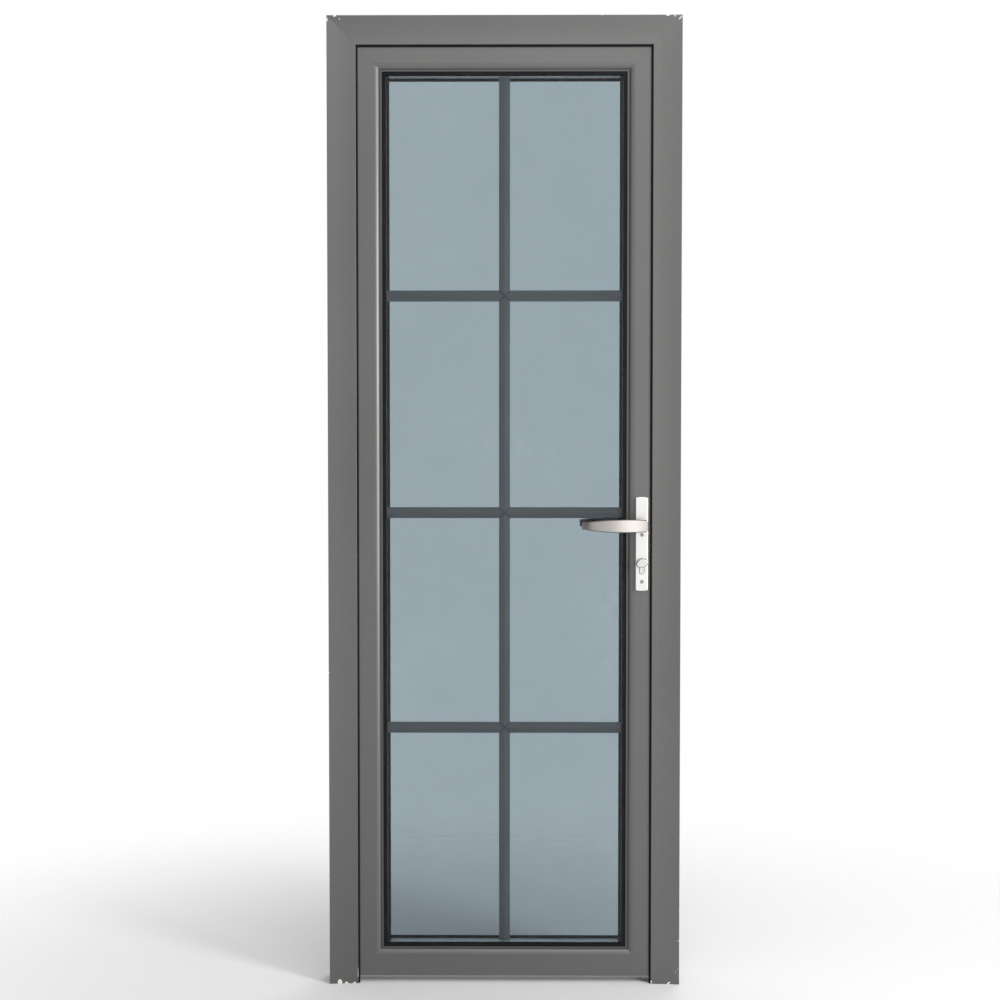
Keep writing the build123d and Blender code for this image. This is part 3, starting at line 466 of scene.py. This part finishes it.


# Painted shade on the oval rim of the thumb-turn, which stands a little tilted at rest
turnLook = {
    "halfLength": 0.0133, "halfHeight": 0.0091, "tilt": 15.0,
    "rim": (0.72, 0.95),
    "rimDepth": (0.003, 0.0015),
}
turnLow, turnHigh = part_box("thumb_turn")


def turnRimPaintedShade(tree):
    look = turnLook
    x, y, z = axisValues(tree, objectCoords(tree))
    dx = calc(tree, "SUBTRACT", x, (turnLow.x + turnHigh.x) / 2)
    dz = calc(tree, "SUBTRACT", z, (turnLow.z + turnHigh.z) / 2)
    far = ovalReach(tree, dx, dz, look["halfLength"], look["halfHeight"], look["tilt"])
    rim = remap(tree, far, *look["rim"])
    depth = remap(tree, calc(tree, "SUBTRACT", y, turnLow.y), *look["rimDepth"])
    return calc(tree, "MULTIPLY", rim, depth)


# Painted shade in the seam where the profile cylinder comes through a handle plate
seamLook = {
    "radius": 0.0085,
    "lobeHalf": 0.005,
    "lobeEnd": 0.0195,
    "offset": 0.0003,
    "reach": (0.0011, 0.0004),
}
cylinderLow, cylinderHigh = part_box("cylinder_body")


def cylinderSeamPaintedShade(tree):
    look = seamLook
    x, y, z = axisValues(tree, objectCoords(tree))
    dx = calc(tree, "SUBTRACT", x, (cylinderLow.x + cylinderHigh.x) / 2)
    dz = calc(tree, "SUBTRACT", z, cylinderHigh.z - look["radius"])
    below = calc(tree, "MINIMUM", calc(tree, "MAXIMUM", dz, -look["lobeEnd"]), 0.0)
    toLobe = calc(tree, "SUBTRACT", dz, below)
    acrossSquared = calc(tree, "MULTIPLY", dx, dx)
    lobe = calc(tree, "SQRT", calc(tree, "MULTIPLY_ADD", toLobe, toLobe, acrossSquared))
    barrel = calc(tree, "SQRT", calc(tree, "MULTIPLY_ADD", dz, dz, acrossSquared))
    lobe = calc(tree, "SUBTRACT", lobe, look["lobeHalf"])
    barrel = calc(tree, "SUBTRACT", barrel, look["radius"])
    apart = calc(tree, "SUBTRACT", calc(tree, "MINIMUM", lobe, barrel), look["offset"])
    return remap(tree, calc(tree, "ABSOLUTE", apart), *look["reach"])


# Painted shade at the bottom of a screw's recess, from the attribute that its node tree writes
def recessPaintedShade(tree):
    return addNode(tree, "ShaderNodeAttribute", attribute_name="recessShade").outputs["Fac"]


# Each metal's two tones, how rough it is and which way its grain runs, with a place of painted shade where it
# has one
satinMetals = {
    "satinNickel": {
        "light": (0.82, 0.805, 0.78, 1), "dark": (0.77, 0.755, 0.73, 1), "rough": 0.33, "grain": "alongZ",
        "shade": cylinderSeamPaintedShade, "shadeTone": (0.10, 0.097, 0.093, 1),
    },
    "millAluminium": {
        "light": (0.78, 0.78, 0.79, 1), "dark": (0.68, 0.68, 0.69, 1), "rough": 0.4, "grain": "alongX",
    },
    "platedSteel": {
        "light": (0.70, 0.70, 0.69, 1), "dark": (0.60, 0.60, 0.60, 1), "rough": 0.36, "grain": "alongZ",
    },
    "cylinderNickel": {
        "light": (0.78, 0.76, 0.72, 1), "dark": (0.70, 0.68, 0.65, 1), "rough": 0.28, "grain": "alongY",
    },
    "screwSteel": {
        "light": (0.50, 0.49, 0.475, 1), "dark": (0.40, 0.39, 0.38, 1), "rough": 0.32, "grain": "alongY",
        "shade": recessPaintedShade, "shadeTone": (0.02, 0.02, 0.02, 1),
    },
    # painted shade: the front lever's tones are darker than the rear lever's, which is the same satin metal
    "frontLeverDarkSatin": {
        "light": (0.41, 0.385, 0.365, 1), "dark": (0.37, 0.35, 0.33, 1), "rough": 0.42, "grain": "alongX",
        "shade": leverEdgePaintedShade, "shadeTone": (0.10, 0.095, 0.09, 1),
    },
    "rearLeverSatin": {
        "light": (0.60, 0.57, 0.545, 1), "dark": (0.55, 0.52, 0.495, 1), "rough": 0.42, "grain": "alongX",
    },
    "turnSatin": {
        "light": (0.74, 0.725, 0.70, 1), "dark": (0.68, 0.665, 0.64, 1), "rough": 0.30, "grain": "alongX",
        "shade": turnRimPaintedShade, "shadeTone": (0.08, 0.078, 0.075, 1),
    },
}
satinLook = {
    "alongScale": 60.0,
    "acrossScale": 1600.0,
    "grainSpan": (0.3, 0.7),
    "marks": {"markScale": 22.0, "fineScale": 190.0},
    "roughSpread": 0.04,
    "markRough": 0.12,
    "shadeRough": 0.15,
    "bump": {"strength": 0.05, "distance": 0.0002},
}


def makeSatinMetal(name):
    look, metal = satinLook, satinMetals[name]
    material, tree, shader = newMaterial(name, Metallic=1.0)
    scales = dict.fromkeys(("alongX", "alongY", "alongZ"), look["acrossScale"])
    scales[metal["grain"]] = look["alongScale"]
    grain = useGroup(tree, satin, **scales)["grain"]
    marks = useGroup(tree, smudge, **look["marks"])["mark"]
    tone = remap(tree, grain, *look["grainSpan"], 0.0, 1.0, False)
    colour = blendColour(tree, tone, metal["dark"], metal["light"])
    roughest, smoothest = metal["rough"] + look["roughSpread"], metal["rough"] - look["roughSpread"]
    worn = remap(tree, grain, *look["grainSpan"], roughest, smoothest)
    worn = calc(tree, "MULTIPLY_ADD", marks, look["markRough"], worn)
    # painted shade where the metal's mask lies
    if "shade" in metal:
        mask = metal["shade"](tree)
        colour = blendColour(tree, mask, colour, metal["shadeTone"])
        worn = calc(tree, "MULTIPLY_ADD", mask, look["shadeRough"], worn)
    feed(tree, shader["Base Color"], colour)
    feed(tree, shader["Roughness"], worn)
    feed(tree, shader["Normal"], bumpFrom(tree, grain, **look["bump"]))
    return material


plasticLook = {
    "tones": ((0.018, 0.018, 0.02, 1), (0.04, 0.04, 0.043, 1)),
    "rough": (0.42, 0.6),
    "grainScale": 700.0,
    "grainSpan": (0.3, 0.7),
    "bump": {"strength": 0.1, "distance": 0.0002},
}


def makePlastic():
    look = plasticLook
    material, tree, shader = newMaterial("mouldedPlastic")
    grain = noise(tree, objectCoords(tree), look["grainScale"], detail=3.0)
    feed(tree, shader["Base Color"], blendColour(tree, grain, *look["tones"]))
    feed(tree, shader["Roughness"], remap(tree, grain, *look["grainSpan"], *look["rough"]))
    feed(tree, shader["Normal"], bumpFrom(tree, grain, **look["bump"]))
    return material


finishes = {
    "grey_coat": makeGreyCoat("leafCoat", topRailHigh.x, topRailHigh.z, bottomRailLow.z, chipped=False),
    "bar_coat": makeBarCoat(),
    "hinge_coat": makeHingeCoat(),
    "glass": makeGlass(),
    "black_rubber": makeRubber(),
    "spacer_grey": makeSpacer(),
    "satin_nickel": makeSatinMetal("satinNickel"),
    "mill_aluminium": makeSatinMetal("millAluminium"),
    "lock_steel": makeSatinMetal("platedSteel"),
    "cylinder_nickel": makeSatinMetal("cylinderNickel"),
    "screw_steel": makeSatinMetal("screwSteel"),
    "plain_plastic": makePlastic(),
}
frameCoat = makeGreyCoat("frameCoat", jambHigh.x, headHigh.z, floorJoint, chipped=True)
ownFinish = {
    "hinge_jamb": frameCoat,
    "lock_jamb": frameCoat,
    "frame_head": frameCoat,
    "front_lever": makeSatinMetal("frontLeverDarkSatin"),
    "rear_lever": makeSatinMetal("rearLeverSatin"),
    "thumb_turn": makeSatinMetal("turnSatin"),
}

for part in frame["record"]["subparts"]:
    piece = nodes[part["node"]]
    piece.data.materials.clear()
    piece.data.materials.append(ownFinish.get(part["node"], finishes[part["material_slot"]]))


# cross-head screws

screwLook = {
    "sides": 32,
    "recessReach": 0.58,   # this and the next two are shares of the head's radius
    "recessWidth": 0.22,
    "recessDepth": 0.42,
    "recessShadeBand": 0.1,      # share of the recess's depth
    "recessShadeReach": 0.51,    # share of the slot's length, just over half
}
screwSets = {
    "handle_screws": {"piece": "handleScrewSet", "body": "leaf", "facing": (90, 0, 0), "seed": 3},
    "hinge_frame_screws": {"piece": "hingeFrameScrewSet", "body": "frame", "facing": (-90, 0, 0), "seed": 5},
    "hinge_leaf_screws": {"piece": "hingeLeafScrewSet", "body": "leaf", "facing": (-90, 0, 0), "seed": 8},
    "faceplate_screws": {"piece": "faceplateScrewSet", "body": "leaf", "facing": (0, 90, 0), "seed": 13},
    "strike_screws": {"piece": "strikeScrewSet", "body": "frame", "facing": (0, -90, 0), "seed": 21},
    "cylinder_screw": {"piece": "cylinderScrewPiece", "body": "leaf", "facing": (0, 90, 0), "seed": 34},
}


def makeScrewTree():
    tree = bpy.data.node_groups.new("crossHeadScrews", "GeometryNodeTree")
    sockets = (
        ("spots", "Geometry"), ("headRadius", "Float"), ("shankRadius", "Float"), ("screwLength", "Float"),
        ("recessReach", "Float"), ("recessWidth", "Float"), ("recessDepth", "Float"), ("facing", "Vector"),
        ("twistSeed", "Int"), ("finish", "Material"),
    )
    for label, kind in sockets:
        tree.interface.new_socket(label, in_out="INPUT", socket_type="NodeSocket" + kind)
    tree.interface.new_socket("screws", in_out="OUTPUT", socket_type="NodeSocketGeometry")
    given = tree.nodes.new("NodeGroupInput").outputs

    # head and shank in one solid, with the head's flat at zero
    headDepth = calc(tree, "SUBTRACT", given["headRadius"], given["shankRadius"])
    cone = addNode(tree, "GeometryNodeMeshCone", {
        "Vertices": screwLook["sides"], "Radius Bottom": given["headRadius"],
        "Radius Top": given["shankRadius"], "Depth": headDepth,
    })
    shankDepth = calc(tree, "MULTIPLY_ADD", headDepth, -0.5, given["screwLength"])
    shank = addNode(tree, "GeometryNodeMeshCylinder", {
        "Vertices": screwLook["sides"], "Radius": given["shankRadius"], "Depth": shankDepth,
    })
    shankMiddle = calc(tree, "MULTIPLY_ADD", shankDepth, -0.5, given["screwLength"])
    lift = addNode(tree, "ShaderNodeCombineXYZ", {"Z": shankMiddle}).outputs[0]
    lifted = addNode(tree, "GeometryNodeTransform", {"Geometry": shank.outputs["Mesh"], "Translation": lift})
    body = addNode(tree, "GeometryNodeMeshBoolean", operation="UNION", solver="EXACT")
    tree.links.new(cone.outputs["Mesh"], body.inputs["Mesh 2"])
    tree.links.new(lifted.outputs["Geometry"], body.inputs["Mesh 2"])

    # two crossed slots cut into the flat
    reach = calc(tree, "MULTIPLY", given["headRadius"], calc(tree, "MULTIPLY", given["recessReach"], 2.0))
    width = calc(tree, "MULTIPLY", given["headRadius"], given["recessWidth"])
    depth = calc(tree, "MULTIPLY", given["headRadius"], given["recessDepth"])
    deep = calc(tree, "MULTIPLY", depth, 2.0)
    cut = addNode(tree, "GeometryNodeMeshBoolean", operation="DIFFERENCE", solver="EXACT")
    tree.links.new(body.outputs["Mesh"], cut.inputs["Mesh 1"])
    for sideX, sideY in ((reach, width), (width, reach)):
        size = addNode(tree, "ShaderNodeCombineXYZ", {"X": sideX, "Y": sideY, "Z": deep}).outputs[0]
        slot = addNode(tree, "GeometryNodeMeshCube", {"Size": size})
        tree.links.new(slot.outputs["Mesh"], cut.inputs["Mesh 2"])

    # painted shade at the bottom of the recess
    place = axisValues(tree, addNode(tree, "GeometryNodeInputPosition").outputs[0])
    bottom = calc(tree, "COMPARE", place["Z"], depth, calc(tree, "MULTIPLY", depth, screwLook["recessShadeBand"]))
    span = calc(tree, "MAXIMUM", calc(tree, "ABSOLUTE", place["X"]), calc(tree, "ABSOLUTE", place["Y"]))
    inside = calc(tree, "LESS_THAN", span, calc(tree, "MULTIPLY", reach, screwLook["recessShadeReach"]))
    shadedRecess = addNode(tree, "GeometryNodeStoreNamedAttribute", {
        "Geometry": cut.outputs["Mesh"], "Name": "recessShade", "Value": calc(tree, "MULTIPLY", bottom, inside),
    }, data_type="FLOAT", domain="POINT")
    upright = addNode(tree, "GeometryNodeTransform", {
        "Geometry": shadedRecess.outputs["Geometry"], "Rotation": (math.pi, 0, 0),
    })

    # one screw on each spot, each left at its own turn
    facing = addNode(tree, "FunctionNodeEulerToRotation", {"Euler": given["facing"]}).outputs[0]
    placed = addNode(tree, "GeometryNodeInstanceOnPoints", {
        "Points": given["spots"], "Instance": upright.outputs["Geometry"], "Rotation": facing,
    })
    turn = addNode(tree, "FunctionNodeRandomValue", data_type="FLOAT")
    turn.inputs[2].default_value, turn.inputs[3].default_value = 0.0, math.pi / 2
    tree.links.new(given["twistSeed"], turn.inputs["Seed"])
    twist = addNode(tree, "ShaderNodeCombineXYZ", {"Z": turn.outputs[1]}).outputs[0]
    twist = addNode(tree, "FunctionNodeEulerToRotation", {"Euler": twist}).outputs[0]
    twisted = addNode(tree, "GeometryNodeRotateInstances", {
        "Instances": placed.outputs["Instances"], "Rotation": twist, "Local Space": True,
    })
    plain = addNode(tree, "GeometryNodeRealizeInstances", {"Geometry": twisted.outputs["Instances"]})
    coated = addNode(tree, "GeometryNodeSetMaterial", {
        "Geometry": plain.outputs["Geometry"], "Material": given["finish"],
    })
    tree.links.new(coated.outputs["Geometry"], tree.nodes.new("NodeGroupOutput").inputs["screws"])
    return tree


# Centre of each head and the sizes of the screws in one node, from a merged copy of its mesh
mergeWithin = 1e-6
shankEnd = 1e-5   # what lies this close to the far end counts as the end


def readScrews(node, outward):
    copy = bmesh.new()
    copy.from_mesh(nodes[node].data)
    bmesh.ops.remove_doubles(copy, verts=copy.verts, dist=mergeWithin)
    left = set(copy.verts)
    spots = []
    while left:
        reached = [left.pop()]
        for vert in reached:
            for edge in vert.link_edges:
                other = edge.other_vert(vert)
                if other in left:
                    left.remove(other)
                    reached.append(other)
        points = [vert.co.copy() for vert in reached]
        along = [point.dot(outward) for point in points]
        high, low = max(along), min(along)
        lows = Vector([min(point[axis] for point in points) for axis in range(3)])
        highs = Vector([max(point[axis] for point in points) for axis in range(3)])
        middle = (lows + highs) / 2
        spots.append(middle + outward * (high - middle.dot(outward)))
        far = [(point - middle - outward * (point - middle).dot(outward)).length for point in points]
        headRadius = max(far)
        shankRadius = max(size for size, level in zip(far, along) if level < low + shankEnd)
    copy.free()
    return spots, headRadius, shankRadius, high - low


def makeScrews(tree):
    inputs = {item.name: item.identifier for item in tree.interface.items_tree if item.in_out == "INPUT"}
    for node, plan in screwSets.items():
        facing = tuple(math.radians(angle) for angle in plan["facing"])
        outward = Euler(facing).to_matrix() @ Vector((0, 0, 1))
        spots, headRadius, shankRadius, length = readScrews(node, outward)
        points = bpy.data.meshes.new(plan["piece"] + "Spots")
        points.from_pydata(spots, [], [])
        maker = bpy.data.objects.new(plan["piece"] + "Spots", points)
        bpy.context.scene.collection.objects.link(maker)
        modifier = maker.modifiers.new("screws", "NODES")
        modifier.node_group = tree
        values = {
            "headRadius": headRadius, "shankRadius": shankRadius, "screwLength": length, "facing": facing,
            "twistSeed": plan["seed"], "finish": finishes["screw_steel"],
        }
        values.update({key: screwLook[key] for key in ("recessReach", "recessWidth", "recessDepth")})
        for label, value in values.items():
            modifier[inputs[label]] = value
        mesh = bpy.data.meshes.new_from_object(maker.evaluated_get(bpy.context.evaluated_depsgraph_get()))
        maker.modifiers.remove(modifier)
        bpy.data.objects.remove(maker)
        mesh.name = plan["piece"]
        piece = bpy.data.objects.new(plan["piece"], mesh)
        bpy.context.scene.collection.objects.link(piece)
        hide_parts(node)
        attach(piece, plan["body"])
        print(plan["piece"], len(spots), "screws", len(mesh.polygons), "faces")


makeScrews(makeScrewTree())


# stage

floorLook = {
    "half": 9.0,
    "level": -0.0004,      # just under the jambs' feet
    "tones": ((0.89, 0.89, 0.89, 1), (0.91, 0.91, 0.91, 1)),
    "rough": 0.8,
    "grainScale": 60.0,
    "fade": (0.35, 1.9),   # where it begins and ends to fade into the background
}


def makeFloor():
    look = floorLook
    half, level = look["half"], look["level"]
    mesh = bpy.data.meshes.new("studioFloor")
    corners = [(-half, -half, level), (half, -half, level), (half, half, level), (-half, half, level)]
    mesh.from_pydata(corners, [], [(0, 1, 2, 3)])
    floor = bpy.data.objects.new("studioFloor", mesh)
    bpy.context.scene.collection.objects.link(floor)
    material, tree, shader = newMaterial("paleFloor", Roughness=look["rough"])
    grain = noise(tree, objectCoords(tree), look["grainScale"], detail=3.0)
    feed(tree, shader["Base Color"], blendColour(tree, grain, *look["tones"]))
    reach = addNode(tree, "ShaderNodeVectorMath", operation="LENGTH")
    feed(tree, reach.inputs[0], objectCoords(tree))
    fade = remap(tree, reach.outputs["Value"], *look["fade"])
    clear = addNode(tree, "ShaderNodeBsdfTransparent")
    join = addNode(tree, "ShaderNodeMixShader")
    feed(tree, join.inputs[0], fade)
    tree.links.new(tree.nodes["Principled BSDF"].outputs[0], join.inputs[1])
    tree.links.new(clear.outputs[0], join.inputs[2])
    tree.links.new(join.outputs[0], tree.nodes["Material Output"].inputs["Surface"])
    mesh.materials.append(material)


# White where it is seen, mirrored or looked at through the panes, and weaker as light on the object
worldLook = {"colour": (1, 1, 1, 1), "ambient": 0.52, "seen": 1.0}


def makeWorld():
    world = bpy.data.worlds.new("studioWorld")
    bpy.context.scene.world = world
    world.use_nodes = True
    tree = world.node_tree
    path = addNode(tree, "ShaderNodeLightPath").outputs
    seen = calc(tree, "MAXIMUM", path["Is Camera Ray"], path["Is Glossy Ray"])
    seen = calc(tree, "MAXIMUM", seen, path["Is Transmission Ray"])
    strength = remap(tree, seen, 0.0, 1.0, worldLook["ambient"], worldLook["seen"], False)
    sky = tree.nodes["Background"]
    sky.inputs["Color"].default_value = worldLook["colour"]
    feed(tree, sky.inputs["Strength"], strength)


# Dark card out of view on the left, so that edges facing it turn darker, as studio flags do
cardLook = {"x": -2.3, "nearY": -1.4, "farY": 0.5, "top": 3.0, "tone": (0.10, 0.10, 0.10, 1), "rough": 0.9}


def makeShadeCard():
    x, nearY, farY, top = (cardLook[key] for key in ("x", "nearY", "farY", "top"))
    mesh = bpy.data.meshes.new("shadeCard")
    mesh.from_pydata([(x, nearY, 0), (x, farY, 0), (x, farY, top), (x, nearY, top)], [], [(0, 1, 2, 3)])
    card = bpy.data.objects.new("shadeCard", mesh)
    bpy.context.scene.collection.objects.link(card)
    card.visible_camera = card.visible_transmission = False
    material, tree, shader = newMaterial("blackCard", Roughness=cardLook["rough"])
    shader["Base Color"].default_value = cardLook["tone"]
    mesh.materials.append(material)


lamps = {
    "keyLamp": {
        "place": (2.6, -2.5, 1.6), "aim": (0, 0, 1.15), "size": (0.9, 1.7), "power": 105.0, "mirrored": True,
    },
    "topLamp": {
        "place": (0.4, -2.4, 3.7), "aim": (0, 0, 1.7), "size": (1.6, 1.0), "power": 22.0, "mirrored": True,
    },
    "rearLamp": {
        "place": (1.2, 3.4, 2.8), "aim": (0, 0, 1.1), "size": (2.2, 2.2), "power": 50.0, "mirrored": False,
    },
}


def makeLamps():
    for name, lamp in lamps.items():
        data = bpy.data.lights.new(name, "AREA")
        data.shape = "RECTANGLE"
        data.size, data.size_y = lamp["size"]
        data.energy = lamp["power"]
        light = bpy.data.objects.new(name, data)
        light.location = lamp["place"]
        aim = Vector(lamp["aim"]) - light.location
        light.rotation_euler = aim.to_track_quat("-Z", "Y").to_euler()
        light.visible_camera = light.visible_transmission = False  # a lamp isn't seen through the panes
        light.visible_glossy = lamp["mirrored"]
        bpy.context.scene.collection.objects.link(light)


# The photograph's view: 3.8 m in front of the frame, a little above the middle, turned slightly down and left
viewLook = {
    "place": (0.017, -3.838, 1.203),
    "tilt": -2.162,
    "turn": 0.400,
    "focalPixels": 1755.0,
    "imagePixels": 1000.0,
    "sensorWidth": 36.0,
}


def makeCamera():
    data = bpy.data.cameras.new("photoView")
    data.sensor_fit = "HORIZONTAL"
    data.sensor_width = viewLook["sensorWidth"]
    data.lens = data.sensor_width * viewLook["focalPixels"] / viewLook["imagePixels"]
    camera = bpy.data.objects.new("photoView", data)
    camera.location = viewLook["place"]
    camera.rotation_euler = (math.radians(90 + viewLook["tilt"]), 0, math.radians(viewLook["turn"]))
    bpy.context.scene.collection.objects.link(camera)
    bpy.context.scene.camera = camera


makeFloor()
makeShadeCard()
makeWorld()
makeLamps()
makeCamera()
bpy.context.scene.view_settings.view_transform = "Standard"
print("stage ready")
